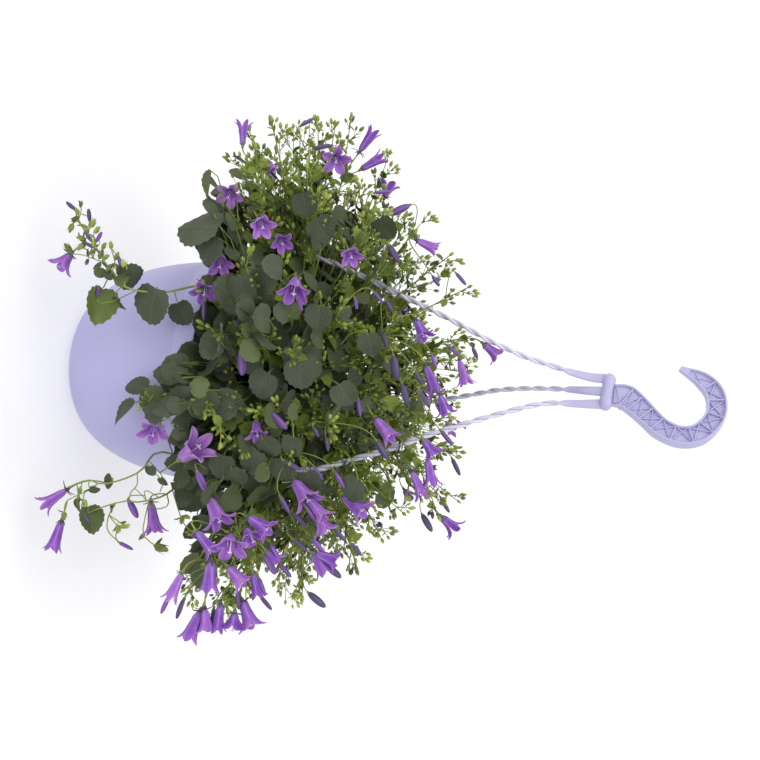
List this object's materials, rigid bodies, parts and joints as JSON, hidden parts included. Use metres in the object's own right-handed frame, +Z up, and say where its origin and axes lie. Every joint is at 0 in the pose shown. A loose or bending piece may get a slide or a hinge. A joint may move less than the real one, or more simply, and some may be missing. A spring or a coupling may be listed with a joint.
{
  "type": "flowering hanging basket",
  "caption": "Bell-flowered campanula in bloom in a round plastic hanging pot, with its twisted-strand hanger and ribbed hanging hook.",
  "frame": {"origin": "the seat inside the top of the hook's bend, where a rail or nail carries the basket", "axes": "+Z up; the hook's flat side faces -Y and its mouth opens towards -X"},
  "size_m": [0.5782, 0.5226, 0.6677],
  "materials": {
    "lilac_plastic": "satin moulded plastic",
    "soil": "moist potting soil",
    "leaf_green": "soft leaf",
    "petal_violet": "soft petal"
  },
  "bodies": {
    "root": {"bloom_01": "petal_violet", "bloom_02": "petal_violet", "bloom_03": "petal_violet", "bloom_04": "petal_violet", "bloom_05": "petal_violet", "bloom_06": "petal_violet", "bloom_07": "petal_violet", "bloom_08": "petal_violet", "bloom_09": "petal_violet", "bloom_10": "petal_violet", "bloom_11": "petal_violet", "bloom_12": "petal_violet", "bloom_13": "petal_violet", "bloom_14": "petal_violet", "bloom_15": "petal_violet", "bloom_16": "petal_violet", "bloom_17": "petal_violet", "bloom_18": "petal_violet", "bloom_20": "petal_violet", "bloom_21": "petal_violet", "bloom_23": "petal_violet", "bloom_24": "petal_violet", "bloom_25": "petal_violet", "bloom_26": "petal_violet", "bloom_28": "petal_violet", "bloom_29": "petal_violet", "bloom_32": "petal_violet", "bloom_33": "petal_violet", "bloom_34": "petal_violet", "bloom_35": "petal_violet", "bloom_36": "petal_violet", "bloom_37": "petal_violet", "bloom_38": "petal_violet", "bloom_39": "petal_violet", "bloom_40": "petal_violet", "bloom_41": "petal_violet", "bloom_43": "petal_violet", "bloom_44": "petal_violet", "bloom_46": "petal_violet", "bloom_47": "petal_violet", "bloom_49": "petal_violet", "bloom_50": "petal_violet", "bloom_bunch_19": "petal_violet", "bloom_bunch_22": "petal_violet", "bloom_bunch_27": "petal_violet", "bloom_bunch_30": "petal_violet", "bloom_bunch_31": "petal_violet", "bloom_bunch_42": "petal_violet", "bloom_bunch_45": "petal_violet", "bloom_bunch_48": "petal_violet", "bloom_bunch_51": "petal_violet", "foliage": "leaf_green", "hook": "lilac_plastic", "pot": "lilac_plastic", "soil": "soil", "strand_back": "lilac_plastic", "strand_left": "lilac_plastic", "strand_right": "lilac_plastic"}
  },
  "joints": []
}
